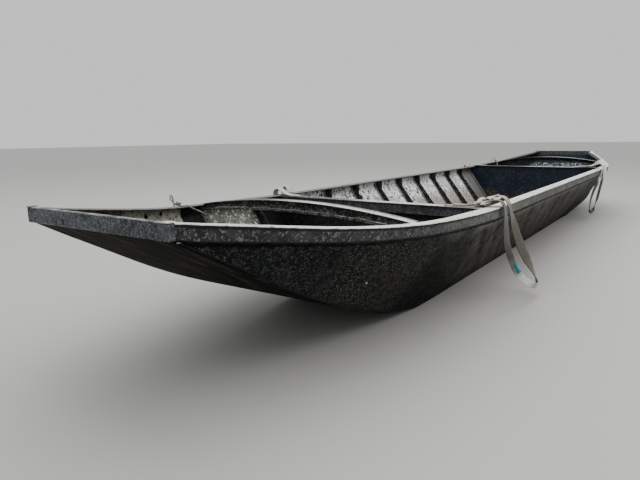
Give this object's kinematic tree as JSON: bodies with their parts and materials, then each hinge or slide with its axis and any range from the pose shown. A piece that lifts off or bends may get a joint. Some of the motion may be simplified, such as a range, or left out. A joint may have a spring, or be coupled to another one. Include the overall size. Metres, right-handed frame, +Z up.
{
  "type": "flat-bottomed scow",
  "caption": "Open flat-bottomed steel work boat with raked square ends, flared sides, ribbed hold between bulkheads, arched end beams and webbing slings.",
  "frame": {"origin": "on the ground under the middle of the hull", "axes": "+X towards the stern, +Z up, port at -Y"},
  "size_m": [6.544, 1.4479, 0.613],
  "materials": {
    "bottom_steel": "dark brown worn steel with lengthwise scrapes",
    "side_steel": "near-black bitumen-coated steel with fine speckles, grey-brown amidships",
    "gunwale_steel": "bare worn grey steel, lighter on top",
    "board_steel": "scratched dark grey steel",
    "hold_paint": "dark navy paint, dirty at the foot",
    "frame_steel": "dark grey flat bar with rust",
    "webbing": "dirty beige polyester webbing",
    "line_fibre": "brown laid fibre line"
  },
  "bodies": {
    "root": {"arched_beam_aft": "frame_steel", "arched_beam_fore": "frame_steel", "bottom_bow": "bottom_steel", "bottom_mid": "bottom_steel", "bottom_stern": "bottom_steel", "bulkhead_aft": "hold_paint", "bulkhead_fore": "hold_paint", "cross_beam_aft": "frame_steel", "cross_beam_fore": "frame_steel", "end_board_bow": "board_steel", "end_board_stern": "board_steel", "end_rib_port_aft": "frame_steel", "end_rib_port_fore": "frame_steel", "end_rib_starboard_aft": "frame_steel", "end_rib_starboard_fore": "frame_steel", "floor_bar_1": "frame_steel", "floor_bar_2": "frame_steel", "floor_bar_3": "frame_steel", "floor_bar_4": "frame_steel", "floor_bar_5": "frame_steel", "floor_bar_6": "frame_steel", "floor_bar_7": "frame_steel", "floor_bar_8": "frame_steel", "gunwale_port_bow": "gunwale_steel", "gunwale_port_stern": "gunwale_steel", "gunwale_starboard_bow": "gunwale_steel", "gunwale_starboard_stern": "gunwale_steel", "knee_plate_port_aft": "frame_steel", "knee_plate_port_fore": "frame_steel", "knee_plate_starboard_aft": "frame_steel", "knee_plate_starboard_fore": "frame_steel", "line_starboard_aft": "line_fibre", "line_starboard_fore": "line_fibre", "rib_port_1": "frame_steel", "rib_port_2": "frame_steel", "rib_port_3": "frame_steel", "rib_port_4": "frame_steel", "rib_port_5": "frame_steel", "rib_port_6": "frame_steel", "rib_port_7": "frame_steel", "rib_port_8": "frame_steel", "rib_starboard_1": "frame_steel", "rib_starboard_2": "frame_steel", "rib_starboard_3": "frame_steel", "rib_starboard_4": "frame_steel", "rib_starboard_5": "frame_steel", "rib_starboard_6": "frame_steel", "rib_starboard_7": "frame_steel", "rib_starboard_8": "frame_steel", "side_port_bow": "side_steel", "side_port_mid": "side_steel", "side_port_stern": "side_steel", "side_starboard_bow": "side_steel", "side_starboard_mid": "side_steel", "side_starboard_stern": "side_steel", "sling_port_aft": "webbing", "sling_port_fore": "webbing", "sling_starboard_aft": "webbing", "sling_starboard_fore": "webbing"}
  },
  "joints": []
}
